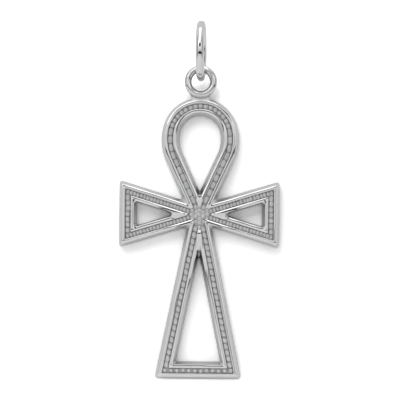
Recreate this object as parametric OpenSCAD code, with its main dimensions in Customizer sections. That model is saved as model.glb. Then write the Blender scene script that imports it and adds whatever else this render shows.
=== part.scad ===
// Ankh pendant: a cast openwork cross with a teardrop head, hung on a jump ring by a soldered loop.
// Millimetres. The origin is the top of the jump ring's inside, where a chain carries it. +Z is up
// and the decorated face looks along -Y.

/* [Jump ring] */
// Wire of the jump ring, across
ring_wire_d = 0.75; // [0.5:0.05:1.1]
// Inside of the jump ring, across
ring_inside_d = 4.0; // [3:0.1:7]
// How far the jump ring hangs turned about the vertical, in degrees
ring_turn = -3; // [-6:0.5:6]
// Free play between the jump ring's wire and the loop that hangs on it
link_gap = 0.05; // [0.03:0.01:0.15]

/* [Hanging loop] */
// Wire of the soldered loop, across
loop_wire_d = 0.66; // [0.45:0.01:0.9]
// Hole of the soldered loop, across
loop_hole_d = 1.65; // [1.5:0.05:3]
// How deep the loop is let into the edge of the head
neck_lap = 0.05; // [0.02:0.01:0.2]
// Radius of the hollow that the solder leaves on each side, between the loop and the head
solder_r = 0.35; // [0.2:0.01:0.6]
// Thickness of the solder
solder_t = 0.6; // [0.3:0.02:0.64]

/* [Head] */
// Radius of the groove's middle over the top of the head
head_top_r = 2.67; // [2.2:0.01:3.4]
// Radius of the groove's middle down each side of the head
head_side_r = 3.88; // [3.5:0.01:6]
// Where the top arc meets the side arcs, in degrees above level
head_join_deg = 15; // [5:1:40]
// Lean of the head's straight flanks, in degrees from upright
head_flank_deg = 24.6; // [20:0.1:32]
// Width of the bar round the head
head_bar_w = 1.65; // [1.4:0.01:1.9]

/* [Arms] */
// Width across both arms
arm_span = 14.5; // [12:0.1:20]
// Height of an arm at its outer end
arm_end_h = 6.12; // [5:0.02:8]
// Width of the slanted bars of an arm
arm_side_w = 1.48; // [1.35:0.01:1.7]
// Width of the upright bar at an arm's end
arm_end_w = 1.62; // [1.35:0.01:1.9]

/* [Leg] */
// Length of the leg, from the crossing to its foot
leg_l = 14.88; // [12:0.02:22]
// Width of the leg at its foot
leg_foot_w = 7.88; // [6.5:0.02:10]
// How far the groove's middle down each side of the leg passes beside the crossing
leg_spread = 0.09; // [0:0.01:0.2]
// Width of the slanted bars of the leg
leg_side_w = 1.6; // [1.35:0.01:1.7]
// Width of the level bar at the foot
leg_end_w = 1.58; // [1.35:0.01:1.9]

/* [Bar section] */
// Thickness of the body, from its flat back to the crests of its rims
body_t = 1.2; // [0.9:0.05:2]
// Width of the rim along the outline
rim_w = 0.57; // [0.45:0.01:0.65]
// Width of the groove between the rims
groove_w = 0.45; // [0.35:0.01:0.5]
// Depth of the groove below the crests
groove_depth = 0.25; // [0.15:0.01:0.5]
// Width of the sloping face outside the outline's crest, as a share of its rim
slope_share = 0.42; // [0.2:0.01:0.6]
// Height of the rounded crest
crest_h = 0.1; // [0.05:0.01:0.2]
// Radius of the outline's corners
corner_r = 0.25; // [0.1:0.01:0.4]
// Radius of the inward corners, where the arms, head and leg meet
crotch_r = 0.12; // [0.04:0.01:0.25]
// Radius of a rim's corners on the groove's side
tip_r = 0.1; // [0.06:0.01:0.3]
// Radius of the crests' corners beside the openings
crest_r = 0.25; // [0.08:0.01:0.3]
// Radius of the openings' corners
opening_r = 0.1; // [0.06:0.01:0.2]

/* [Granulation] */
// Free space beside a grain that fills the groove
grain_gap = 0.03; // [0.02:0.005:0.06]
// Pitch of the long grains up the sides of the head
head_side_pitch = 0.74; // [0.6:0.02:1.2]
// Pitch of the grains over the top of the head
head_top_pitch = 0.46; // [0.42:0.01:0.8]
// Grains in the arms' slanted bars, across
arm_grain_d = 0.27; // [0.2:0.01:0.29]
// Pitch of the grains in the arms' slanted bars
arm_pitch = 0.32; // [0.32:0.01:0.5]
// How far those grains step from side to side
arm_stagger = 0.03; // [0:0.01:0.06]
// Pitch of the grains in the bars at the arms' ends
arm_end_pitch = 0.49; // [0.42:0.01:0.8]
// Pitch of the long grains down the leg
leg_pitch = 0.56; // [0.52:0.01:0.9]
// Pitch of the grains along the foot
foot_pitch = 0.54; // [0.42:0.01:0.8]

/* [Hidden] */
$fn = 48;
arc_step = 6;
corner_steps = 4;
tiny = 0.001;

ring_r = (ring_inside_d + ring_wire_d) / 2;
ring_centre_z = -ring_inside_d / 2;
loop_r = (loop_hole_d + loop_wire_d) / 2;
// The loop's hole hangs on the lowest part of the ring's wire.
loop_z = ring_centre_z - ring_r - (loop_hole_d / 2 - ring_wire_d / 2 - link_gap);

// The groove's middle is this far in from the outline, and it runs to the crossing.
mid_w = rim_w + groove_w / 2;
groove_floor = body_t - groove_depth;
rims_w = rim_w + groove_w;
crest_w = rim_w * (1 - slope_share);

head_top_z = loop_z - loop_r - loop_wire_d / 2 + neck_lap;
side_shift = head_side_r - head_top_r;
head_c = (head_side_r - side_shift * cos(head_flank_deg + head_join_deg)) / sin(head_flank_deg);
crossing_z = head_top_z - mid_w - head_top_r - head_c;
head_side_c = [-side_shift * cos(head_join_deg), head_c - side_shift * sin(head_join_deg)];

arm_lean = side_lean(arm_end_h / 2, arm_span / 2, mid_w);
leg_lean = side_lean(leg_foot_w / 2, leg_l, mid_w + leg_spread);

// An edge is [angle of its outward normal, distance from the crossing].
head_edge = [-head_flank_deg, mid_w];
arm_top_edge = [90 + arm_lean, mid_w];
arm_end_edge = [0, arm_span / 2];
arm_low_edge = [-90 - arm_lean, mid_w];
leg_edge = [leg_lean, mid_w + leg_spread];
foot_edge = [-90, leg_l];

grain_d = groove_w - 2 * grain_gap;

// A rim's section as [share of its width, height], from its open edge over the crest to the groove.
rim_section = concat(
    [[0, 0], [slope_share * 0.15, body_t * 0.45]],
    [for (a = [0:30:180]) [mix(1, slope_share, (1 + cos(a)) / 2), body_t - crest_h + crest_h * sin(a)]],
    [[1, 0]]
);

function dir(a) = [cos(a), sin(a)];
function mix(a, b, share) = a + (b - a) * share;
function turn_between(a, b) = (b - a + 540) % 360 - 180;
function inset(edge, w) = [edge[0], edge[1] - w];

// Lean of a side that passes gap from the crossing and reaches half_w off the axis at distance l.
function side_lean(half_w, l, gap) = acos(gap / norm([half_w, l])) - atan2(l, half_w);

// Where two edges would meet in a sharp corner.
function meet(e, f) =
    [e[1] * sin(f[0]) - f[1] * sin(e[0]), f[1] * cos(e[0]) - e[1] * cos(f[0])] / sin(f[0] - e[0]);

// The rounded corner from edge e to edge f. Its radius is r, or crotch_r where it turns inwards.
function corner(e, f, r) =
    let (
        turn = turn_between(e[0], f[0]),
        signed_r = turn > 0 ? r : -crotch_r,
        mitre = (dir(e[0]) + dir(f[0])) / (1 + cos(turn)),
        centre = meet(e, f) - signed_r * mitre
    )
    [for (k = [0:corner_steps]) centre + signed_r * dir(e[0] + turn * k / corner_steps)];

function arc(centre, r, from, to) =
    let (n = ceil(abs(to - from) / arc_step))
    [for (k = [0:n]) centre + r * dir(mix(from, to, k / n))];

// The right side of the head from its flank to the middle of its top, w inside the outline.
function head_side(w) =
    let (top = arc([0, head_c], head_top_r + mid_w - w, head_join_deg, 90))
    concat(
        arc(head_side_c, head_side_r + mid_w - w, -head_flank_deg, head_join_deg),
        [for (k = [1:len(top) - 1]) top[k]]
    );

function mirrored(points) =
    [for (k = [len(points) - 1:-1:0]) if (points[k][0] > tiny) [-points[k][0], points[k][1]]];
function both_sides(points) = concat(points, mirrored(points));
function chain(edges, r) = [for (k = [0:len(edges) - 2]) each corner(edges[k], edges[k + 1], r)];

// The pendant's outline, w further in.
function outline(w, r) =
    let (edges = [foot_edge, leg_edge, arm_low_edge, arm_end_edge, arm_top_edge, head_edge])
    both_sides(concat(chain([for (e = edges) inset(e, w)], r), head_side(w)));

// Loops round the three kinds of opening. Each is side_w inside its sides and end_w inside its end.
function head_loop(w, r) =
    let (tip = (w - mid_w + r) / sin(head_flank_deg))
    both_sides(concat(arc([0, tip], r, -90, -head_flank_deg - tiny), head_side(w)));
function arm_loop(side_w, end_w, r) =
    let (low = inset(arm_low_edge, side_w), top = inset(arm_top_edge, side_w))
    chain([low, inset(arm_end_edge, end_w), top, low], r);
function leg_loop(side_w, end_w, r) =
    let (right = inset(leg_edge, side_w), left = [180 - right[0], right[1]])
    chain([inset(foot_edge, end_w), right, left, inset(foot_edge, end_w)], r);

// Every crest is as wide as the outline's, and the slope beside an opening takes the rest of the bar.
function rim_loop_w(bar_w, share) =
    share < slope_share ? mix(bar_w, rims_w + crest_w, share / slope_share)
    : mix(rims_w + crest_w, rims_w, (share - slope_share) / (1 - slope_share));
function rim_loop_r(share) =
    share < slope_share ? mix(opening_r, crest_r, share / slope_share)
    : mix(crest_r, tip_r, (share - slope_share) / (1 - slope_share));
function head_opening(share) = head_loop(rim_loop_w(head_bar_w, share), rim_loop_r(share));
function arm_opening(share) =
    arm_loop(rim_loop_w(arm_side_w, share), rim_loop_w(arm_end_w, share), rim_loop_r(share));
function leg_opening(share) =
    leg_loop(rim_loop_w(leg_side_w, share), rim_loop_w(leg_end_w, share), rim_loop_r(share));
function outer_rim(share) = outline(rim_w * share, mix(corner_r, tip_r, share));

function backwards(list) = [for (k = [len(list) - 1:-1:0]) list[k]];

// One loop for each point of the section, from the outside of the ring over its crest to its inside.
inner_section = backwards(rim_section);
function raised(points, h) = [for (p = points) [p[0], p[1], h]];
function outer_rim_loops() = [for (s = rim_section) raised(outer_rim(s[0]), s[1])];
function head_rim_loops() = [for (s = inner_section) raised(head_opening(s[0]), s[1])];
function arm_rim_loops() = [for (s = inner_section) raised(arm_opening(s[0]), s[1])];
function leg_rim_loops() = [for (s = inner_section) raised(leg_opening(s[0]), s[1])];

// A closed ring with loops[j] as its j-th lengthwise line.
module swept_ring(loops) {
    n = len(loops[0]);
    m = len(loops);
    polyhedron(
        points = [for (loop = loops) each loop],
        faces = [
            for (j = [0:m - 1], i = [0:n - 1])
                let (
                    here = j * n,
                    beyond = (j + 1) % m * n,
                    next = (i + 1) % n
                )
                each [
                    [here + i, beyond + i, beyond + next],
                    [here + i, beyond + next, here + next]
                ]
        ]
    );
}

// The grooved plate under the rims. Its edges end inside them.
module groove_plate() {
    linear_extrude(groove_floor)
        difference() {
            polygon(outer_rim(0.5));
            polygon(head_opening(0.5));
            polygon(leg_opening(0.5));
            polygon(arm_opening(0.5));
            mirror([1, 0]) polygon(arm_opening(0.5));
        }
}

module grain(at, d) {
    translate([at[0], at[1], groove_floor]) sphere(d = d);
}

// A long grain is a run of round ones that overlap by half or more, l long in all.
module long_grain(at, lean, l) {
    n = max(ceil(2 * (l - grain_d) / grain_d), 1);
    for (k = [0:n])
        grain(at + dir(lean) * (k / n - 0.5) * (l - grain_d), grain_d);
}

// Grains from a to b, first and last at the ends when with_ends is true, stepping across by side and -side.
module grain_row(a, b, pitch, d, with_ends = true, side = 0) {
    n = max(round(norm(b - a) / pitch), 1);
    along = (b - a) / norm(b - a);
    across = [-along[1], along[0]];
    skip = with_ends ? 0 : 1;
    for (k = [skip:n - skip])
        grain(mix(a, b, k / n) + across * side * (k % 2 == 0 ? 1 : -1), d);
}

// Where the groove's middle is after a length s up the right of the head, from the crossing, and its normal.
head_flank_l = (head_side_c + head_side_r * dir(-head_flank_deg)) * dir(90 - head_flank_deg);
head_join_l = head_flank_l + head_side_r * (head_join_deg + head_flank_deg) * PI / 180;
head_top_l = head_join_l + head_top_r * (90 - head_join_deg) * PI / 180;
function turned(s, r) = s / r * 180 / PI;
function head_normal(s) =
    s < head_flank_l ? -head_flank_deg
    : s < head_join_l ? turned(s - head_flank_l, head_side_r) - head_flank_deg
    : turned(s - head_join_l, head_top_r) + head_join_deg;
function head_at(s) =
    s < head_flank_l ? s * dir(90 - head_flank_deg)
    : s < head_join_l ? head_side_c + head_side_r * dir(head_normal(s))
    : [0, head_c] + head_top_r * dir(head_normal(s));

row_start = 2.4 * groove_w;

// Long grains up both sides of the head, then round ones with the last at the middle of its top.
module head_grains() {
    side_n = max(round((head_join_l - row_start) / head_side_pitch), 1);
    side_step = (head_join_l - row_start) / side_n;
    for (k = [0:side_n - 1], side = [0, 1])
        let (s = row_start + side_step * (k + 0.5))
        mirror([side, 0, 0])
            long_grain(head_at(s), head_normal(s) + 90, side_step - 2 * grain_gap);
    top_n = max(round((head_top_l - head_join_l) / head_top_pitch - 0.5), 1);
    for (k = [0:top_n])
        let (at = head_at(mix(head_join_l, head_top_l, (k + 0.5) / (top_n + 0.5)))) {
            grain(at, grain_d);
            if (at[0] > tiny) grain([-at[0], at[1]], grain_d);
        }
}

module arm_grains() {
    top_corner = meet(inset(arm_end_edge, mid_w), inset(arm_top_edge, mid_w));
    low_corner = [top_corner[0], -top_corner[1]];
    for (end = [top_corner, low_corner])
        grain_row(end / norm(end) * row_start, end, arm_pitch, arm_grain_d, side = arm_stagger);
    grain_row(low_corner, top_corner, arm_end_pitch, grain_d, with_ends = false);
}

// Long grains down both sides of the leg, and round ones along its foot.
module leg_grains() {
    corner_at = meet(inset(foot_edge, mid_w), inset(leg_edge, mid_w));
    along = dir(leg_lean - 90);
    start = leg_spread * dir(leg_lean) + along * row_start;
    stop = corner_at - along * foot_pitch / 2;
    n = max(round(norm(stop - start) / leg_pitch), 1);
    step = norm(stop - start) / n;
    for (k = [0:n - 1], side = [0, 1])
        mirror([side, 0, 0])
            long_grain(start + along * step * (k + 0.5), leg_lean - 90, step - 2 * grain_gap);
    grain_row([-corner_at[0], corner_at[1]], corner_at, foot_pitch, grain_d);
}

module crossing_grains() {
    step = 1.15 * groove_w;
    for (at = [[0, 0], [0, step], [0, -step], [step, 0], [-step, 0], [0, -2 * step]])
        grain(at, grain_d);
}

// The hollow beside the solder touches the loop's outside and the middle of the head's sloping edge.
loop_c = [0, loop_z - crossing_z];
loop_outer_r = loop_r + loop_wire_d / 2;
head_outer_r = head_top_r + mid_w - slope_share * rim_w / 2;
centres_l = loop_c[1] - head_c;
from_loop = loop_outer_r + solder_r;
from_head = head_outer_r + solder_r;
hollow_drop = (centres_l ^ 2 + from_loop ^ 2 - from_head ^ 2) / (2 * centres_l);
hollow_c = loop_c + [sqrt(from_loop ^ 2 - hollow_drop ^ 2), -hollow_drop];

module solder() {
    on_loop = mix(loop_c, hollow_c, (loop_outer_r - loop_wire_d / 4) / from_loop);
    on_head = mix([0, head_c], hollow_c, (head_outer_r - rim_w / 2) / from_head);
    translate([0, 0, (body_t - solder_t) / 2])
        linear_extrude(solder_t)
            difference() {
                polygon(both_sides([on_head, hollow_c, on_loop]));
                translate(hollow_c) circle(solder_r);
                mirror([1, 0]) translate(hollow_c) circle(solder_r);
            }
}

module hanging_loop() {
    translate([loop_c[0], loop_c[1], body_t / 2])
        rotate_extrude() translate([loop_r, 0]) circle(d = loop_wire_d);
    solder();
}

module ankh() {
    color("silver")
        translate([0, body_t / 2, crossing_z])
            rotate([90, 0, 0]) {
                groove_plate();
                swept_ring(outer_rim_loops());
                swept_ring(head_rim_loops());
                swept_ring(leg_rim_loops());
                for (side = [0, 1])
                    mirror([side, 0, 0]) {
                        swept_ring(arm_rim_loops());
                        arm_grains();
                    }
                head_grains();
                leg_grains();
                crossing_grains();
                hanging_loop();
            }
}

module jump_ring() {
    color("gainsboro")
        translate([0, 0, ring_centre_z])
            rotate([0, 0, ring_turn])
                rotate([0, 90, 0])
                    rotate_extrude() translate([ring_r, 0]) circle(d = ring_wire_d);
}

ankh();
jump_ring();
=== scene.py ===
"""Ankh pendant on its jump ring: the fine meshes, finishes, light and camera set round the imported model.

Lengths are millimetres in the pendant's flat frame, with x to the right, y up from the crossing and
h above the flat back, until a Surface is laid in the world in metres.
"""
import logging
import math
from collections.abc import Callable
from dataclasses import dataclass, field
from enum import Enum

import bmesh
import bpy
import numpy as np
from bpy.types import Camera, Light, Material, Mesh, Node, NodeSocket, NodeTree, Object, World
from mathutils import Matrix, Vector
from mathutils.geometry import delaunay_2d_cdt


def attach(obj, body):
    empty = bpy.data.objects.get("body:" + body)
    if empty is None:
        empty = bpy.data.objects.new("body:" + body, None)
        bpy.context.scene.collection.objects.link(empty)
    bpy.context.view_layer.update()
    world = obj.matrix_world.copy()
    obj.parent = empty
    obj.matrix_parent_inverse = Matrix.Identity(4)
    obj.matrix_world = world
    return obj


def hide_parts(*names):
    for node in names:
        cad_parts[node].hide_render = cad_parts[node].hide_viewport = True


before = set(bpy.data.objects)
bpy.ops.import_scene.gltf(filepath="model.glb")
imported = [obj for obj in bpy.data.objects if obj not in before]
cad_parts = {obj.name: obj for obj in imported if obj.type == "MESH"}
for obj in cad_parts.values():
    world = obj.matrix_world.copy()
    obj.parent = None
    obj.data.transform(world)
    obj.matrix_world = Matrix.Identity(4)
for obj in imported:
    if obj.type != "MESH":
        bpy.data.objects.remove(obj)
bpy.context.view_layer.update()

MM = 0.001
# How near, in metres, points of neighbouring surfaces are joined
JOINED = 3e-8
LOG = logging.getLogger("ankh")
Array = np.ndarray
Pair = tuple[float, float]
Colour = tuple[float, float, float]
# A crest's form: places across it, from its open side, and the tilt in degrees at each
Crest = tuple[Pair, ...]


class Body(Enum):
    """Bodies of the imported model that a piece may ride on."""

    RING = "jump_ring"
    ANKH = "ankh"


class Slot(Enum):
    """Material slots of the record."""

    CAST = "cast_silver"
    WIRE = "ring_wire"


class Face(Enum):
    """Kinds of face on the casting, in the order of its material slots."""

    RIM = 0
    FLOOR = 1
    BACK = 2


# Sizes, as in the part's source
@dataclass(frozen=True)
class Sizes:
    """The part's named lengths, in millimetres and degrees."""

    ring_wire_d: float = 0.75
    ring_inside_d: float = 4.0
    ring_turn: float = -3.0
    link_gap: float = 0.05
    loop_wire_d: float = 0.66
    loop_hole_d: float = 1.65
    neck_lap: float = 0.05
    solder_r: float = 0.35
    solder_t: float = 0.6
    head_top_r: float = 2.67
    head_side_r: float = 3.88
    head_join_deg: float = 15.0
    head_flank_deg: float = 24.6
    head_bar_w: float = 1.65
    arm_span: float = 14.5
    arm_end_h: float = 6.12
    arm_side_w: float = 1.48
    arm_end_w: float = 1.62
    leg_l: float = 14.88
    leg_foot_w: float = 7.88
    leg_spread: float = 0.09
    leg_side_w: float = 1.6
    leg_end_w: float = 1.58
    body_t: float = 1.2
    rim_w: float = 0.57
    groove_w: float = 0.45
    groove_depth: float = 0.25
    slope_share: float = 0.42
    corner_r: float = 0.25
    crotch_r: float = 0.12
    tip_r: float = 0.1
    crest_r: float = 0.25
    opening_r: float = 0.1
    head_side_pitch: float = 0.74
    head_top_pitch: float = 0.46
    arm_pitch: float = 0.32
    arm_end_pitch: float = 0.49
    leg_pitch: float = 0.56
    foot_pitch: float = 0.54

    @property
    def ring_r(self) -> float:
        """Radius of the middle of the jump ring's wire."""
        return (self.ring_inside_d + self.ring_wire_d) / 2

    @property
    def loop_r(self) -> float:
        """Radius of the middle of the hanging loop's wire."""
        return (self.loop_hole_d + self.loop_wire_d) / 2

    @property
    def loop_z(self) -> float:
        """Height of the hanging loop's centre in the world."""
        play = self.loop_hole_d / 2 - self.ring_wire_d / 2 - self.link_gap
        return -self.ring_inside_d / 2 - self.ring_r - play

    @property
    def mid_w(self) -> float:
        """How far the groove's middle is inside the outline."""
        return self.rim_w + self.groove_w / 2

    @property
    def rims_w(self) -> float:
        """Width of a rim and the groove together."""
        return self.rim_w + self.groove_w

    @property
    def crest_w(self) -> float:
        """Width of every rim's crest."""
        return self.rim_w * (1 - self.slope_share)

    @property
    def groove_floor(self) -> float:
        """Height of the groove's floor above the back."""
        return self.body_t - self.groove_depth

    @property
    def head_c(self) -> float:
        """How far the head's centre is above the crossing.

        Returns:
            The height, in millimetres.
        """
        shift = self.head_side_r - self.head_top_r
        lean = math.radians(self.head_flank_deg + self.head_join_deg)
        return (self.head_side_r - shift * math.cos(lean)) / math.sin(math.radians(self.head_flank_deg))

    @property
    def crossing_z(self) -> float:
        """Height of the crossing in the world."""
        head_top = self.loop_z - self.loop_r - self.loop_wire_d / 2 + self.neck_lap
        return head_top - self.mid_w - self.head_top_r - self.head_c


SIZES = Sizes()


def unit(angle: float | Array) -> Array:
    """The direction at an angle in degrees: its cosine and sine."""
    turned = np.radians(angle)
    return np.stack([np.cos(turned), np.sin(turned)], axis=-1)


def mix(a: float | Array, b: float | Array, share: float | Array) -> float | Array:
    """The value that lies at a share of the way from a to b."""
    return a + (b - a) * share


def smooth(x: Array, low: float, high: float) -> Array:
    """A smooth step: 0 up to low, 1 from high, and 3t² − 2t³ between."""
    t = np.clip((x - low) / (high - low), 0.0, 1.0)
    return t * t * (3 - 2 * t)


def fade(x: Array, near: float, far: float) -> Array:
    """The smooth step's reverse: 1 up to near and 0 from far."""
    return 1 - smooth(x, near, far)


def turns(count: int) -> Array:
    """Angles at even steps round a full turn."""
    return np.linspace(0, 2 * math.pi, count, endpoint=False)


def squared(x: Array, squareness: float) -> Array:
    """A circle's cosine or sine made a superellipse's: its sign, and its size to the power 2 / squareness."""
    return np.sign(x) * np.abs(x) ** (2 / squareness)


def flipped(points: Array) -> Array:
    """A line of points mirrored to the left side, and run the other way."""
    return points[::-1] * np.array([-1.0, 1.0])


def waves(t: Array, counts: range, seed: int) -> Array:
    """Handwork unevenness round a closed line: the sum of sines with whole numbers of waves.

    Args:
        t: places round the line, from 0 to 1.
        counts: how many waves each sine has round the line.
        seed: seed of the random heights and shifts.

    Returns:
        Values of about 1 at most either way.
    """
    rng = np.random.default_rng(seed)
    k = np.array(counts, float)
    height = rng.uniform(0.4, 1.0, k.size) / math.sqrt(k.size)
    shift = rng.uniform(0, 2 * math.pi, k.size)
    return (height * np.sin(2 * math.pi * k * t[..., None] + shift)).sum(-1)


def lattice_noise(points: Array, pitch: float, seed: int) -> Array:
    """Value noise: random heights on a square lattice, smoothly mixed between its four nearest knots.

    Args:
        points: places, as rows of x and y.
        pitch: the lattice's pitch.
        seed: seed of the random heights.

    Returns:
        A value from -1 to 1 for each place.
    """
    knots = np.random.default_rng(seed).uniform(-1, 1, (256, 256))
    at = points / pitch + 1000.0
    cell = np.floor(at).astype(int)
    t = smooth(at - cell, 0, 1)
    i, j = cell[:, 0] % 255, cell[:, 1] % 255
    low = mix(knots[i, j], knots[i + 1, j], t[:, 0])
    high = mix(knots[i, j + 1], knots[i + 1, j + 1], t[:, 0])
    return mix(low, high, t[:, 1])


@dataclass(frozen=True)
class Edge:
    """A straight edge in the flat frame: its outward normal's angle and its distance from the crossing."""

    angle: float
    reach: float

    def inset(self, w: float) -> "Edge":
        """The same edge, w further in."""
        return Edge(self.angle, self.reach - w)

    def meet(self, other: "Edge") -> Array:
        """Where two edges would meet in a sharp corner.

        Args:
            other: the other edge.

        Returns:
            The corner's x and y.
        """
        a, b = unit(self.angle), unit(other.angle)
        x, y = self.reach * b[1] - other.reach * a[1], other.reach * a[0] - self.reach * b[0]
        return np.array([x, y]) / (a[0] * b[1] - a[1] * b[0])


@dataclass(frozen=True)
class Plan:
    """The pendant's plan: closed lines round its outline and its openings, at any share across a rim.

    A share of 0 is a rim's open edge and 1 its side along the groove. A line is corner arcs joined by
    straight runs, and it has the same number of points at every share. The leg's opening has a sharper
    crest at its tip than the others.
    """

    s: Sizes = SIZES
    leg_crest_r: float = 0.19
    corner_steps: int = 10
    arc_step: float = 2.0
    run_step: float = 0.16

    def side_lean(self, half_w: float, length: float, gap: float) -> float:
        """Lean of a side that passes gap from the crossing and reaches half_w off the axis at length."""
        return math.degrees(math.acos(gap / math.hypot(half_w, length)) - math.atan2(length, half_w))

    @property
    def arm_lean(self) -> float:
        """Lean of an arm's slanted bars from level, in degrees."""
        return self.side_lean(self.s.arm_end_h / 2, self.s.arm_span / 2, self.s.mid_w)

    @property
    def leg_lean(self) -> float:
        """Lean of the leg's sides from upright, in degrees."""
        return self.side_lean(self.s.leg_foot_w / 2, self.s.leg_l, self.s.mid_w + self.s.leg_spread)

    @property
    def edges(self) -> list[Edge]:
        """The right half's edges: foot, leg, underside and end of the arm, its top, and the head's flank.

        Returns:
            The edges, in their order round the outline.
        """
        s = self.s
        return [
            Edge(-90, s.leg_l),
            Edge(self.leg_lean, s.mid_w + s.leg_spread),
            Edge(-90 - self.arm_lean, s.mid_w),
            Edge(0, s.arm_span / 2),
            Edge(90 + self.arm_lean, s.mid_w),
            Edge(-s.head_flank_deg, s.mid_w),
        ]

    def corner(self, e: Edge, f: Edge, r: float) -> Array:
        """The rounded corner from edge e to edge f.

        The centre is inside both edges by the radius. A corner that turns inwards takes the crotch's
        radius and bends the other way.

        Args:
            e: the edge before the corner.
            f: the edge after it.
            r: radius of a corner that turns outwards.

        Returns:
            Its points, as rows of x and y.
        """
        turn = (f.angle - e.angle + 540) % 360 - 180
        signed_r = r if turn > 0 else -self.s.crotch_r
        mitre = (unit(e.angle) + unit(f.angle)) / (1 + math.cos(math.radians(turn)))
        centre = e.meet(f) - signed_r * mitre
        return centre + signed_r * unit(e.angle + turn * np.linspace(0, 1, self.corner_steps + 1))

    def chain(self, edges: list[Edge], r: float) -> list[Array]:
        """The rounded corners between edges that follow each other."""
        return [self.corner(e, f, r) for e, f in zip(edges, edges[1:])]

    def head_arc(self, w: float) -> Array:
        """The arc over the head, w inside the outline, from its right flank to its left one.

        A wide side arc meets the smaller top arc where both have the same direction.

        Args:
            w: how far inside the outline it runs.

        Returns:
            Its points, as rows of x and y.
        """
        s = self.s
        shift = s.head_side_r - s.head_top_r
        join = s.head_join_deg
        side_c = np.array([0, s.head_c]) - shift * unit(join)
        side_n = round((join + s.head_flank_deg) / self.arc_step)
        top_n = round((180 - 2 * join) / self.arc_step)
        side_turns = np.linspace(-s.head_flank_deg, join, side_n + 1)
        top_turns = np.linspace(join, 180 - join, top_n + 1)
        side = side_c + (s.head_side_r + s.mid_w - w) * unit(side_turns)
        top = np.array([0, s.head_c]) + (s.head_top_r + s.mid_w - w) * unit(top_turns)
        return np.vstack([side[:-1], top, flipped(side)[1:]])

    def close(self, parts: list[Array], counts: list[int]) -> Array:
        """Joins corner arcs by straight runs, with counts[k] points in the run after part k.

        Args:
            parts: the arcs, in order round the line.
            counts: how many points each run takes.

        Returns:
            The closed line's points.
        """
        pieces = []
        for part, after, count in zip(parts, parts[1:] + parts[:1], counts):
            share = np.linspace(0, 1, count + 2)[1:-1, None]
            pieces += [part, mix(part[-1], after[0], share)]
        return np.vstack(pieces)

    def run_counts(self, parts: list[Array]) -> list[int]:
        """How many points each straight run takes at the run step."""
        runs = [after[0] - part[-1] for part, after in zip(parts, parts[1:] + parts[:1])]
        return [max(math.ceil(np.linalg.norm(run) / self.run_step) - 1, 1) for run in runs]

    def outline_parts(self, share: float) -> list[Array]:
        """Corner arcs of the pendant's outline, at a share across its rim.

        Args:
            share: the share across the rim, 0 at its open edge and 1 along the groove.

        Returns:
            The arcs in order, each as rows of x and y.
        """
        s = self.s
        w = s.rim_w * share
        right = self.chain([e.inset(w) for e in self.edges], mix(s.corner_r, s.tip_r, share))
        return [*right, self.head_arc(w), *[flipped(part) for part in right[::-1]]]

    def opening_w(self, bar_w: float, share: float) -> float:
        """How far in an opening's line is at a share: its crest is as wide as the outline's."""
        s = self.s
        return float(np.interp(share, [0, s.slope_share, 1], [bar_w, s.rims_w + s.crest_w, s.rims_w]))

    def opening_r(self, share: float, crest_r: float) -> float:
        """Radius of an opening's corners at a share: crest_r at the crest's shoulder."""
        return float(np.interp(share, [0, self.s.slope_share, 1], [self.s.opening_r, crest_r, self.s.tip_r]))

    def head_parts(self, share: float) -> list[Array]:
        """Arcs of the head's opening: the point over the crossing, then the arc over the head.

        Args:
            share: the share across the rim, 0 at its open edge and 1 along the groove.

        Returns:
            The arcs in order, each as rows of x and y.
        """
        s = self.s
        w, r = self.opening_w(s.head_bar_w, share), self.opening_r(share, s.crest_r)
        tip = np.array([0, (w - s.mid_w + r) / math.sin(math.radians(s.head_flank_deg))])
        low_turns = np.linspace(-180 + s.head_flank_deg, -s.head_flank_deg, 2 * self.corner_steps + 1)
        return [tip + r * unit(low_turns), self.head_arc(w)]

    def arm_parts(self, share: float) -> list[Array]:
        """Corner arcs of the right arm's opening.

        Args:
            share: the share across the rim, 0 at its open edge and 1 along the groove.

        Returns:
            The arcs in order, each as rows of x and y.
        """
        s = self.s
        _, _, low, end, top, _ = self.edges
        side_w, end_w = self.opening_w(s.arm_side_w, share), self.opening_w(s.arm_end_w, share)
        low, end, top = low.inset(side_w), end.inset(end_w), top.inset(side_w)
        return self.chain([low, end, top, low], self.opening_r(share, s.crest_r))

    def left_arm_parts(self, share: float) -> list[Array]:
        """Corner arcs of the left arm's opening."""
        return [flipped(part) for part in self.arm_parts(share)[::-1]]

    def leg_parts(self, share: float) -> list[Array]:
        """Corner arcs of the leg's opening.

        Args:
            share: the share across the rim, 0 at its open edge and 1 along the groove.

        Returns:
            The arcs in order, each as rows of x and y.
        """
        s = self.s
        foot, right = self.edges[:2]
        right = right.inset(self.opening_w(s.leg_side_w, share))
        left = Edge(180 - right.angle, right.reach)
        foot = foot.inset(self.opening_w(s.leg_end_w, share))
        return self.chain([foot, right, left, foot], self.opening_r(share, self.leg_crest_r))


@dataclass
class Surface:
    """A mesh in the making: points in millimetres, faces of four and three corners, and values at points."""

    points: Array
    quads: Array = field(default_factory=lambda: np.zeros((0, 4), int))
    tris: Array = field(default_factory=lambda: np.zeros((0, 3), int))
    # How much painted shade darkens each point
    painted_shade: Array | None = None
    kind: Face = Face.RIM

    def laid(self) -> Array:
        """Flat-frame points in world metres: (x, half the thickness − h, the crossing's height + y)."""
        x, y, h = self.points.T
        return np.column_stack([x, SIZES.body_t / 2 - h, SIZES.crossing_z + y]) * MM


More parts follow.
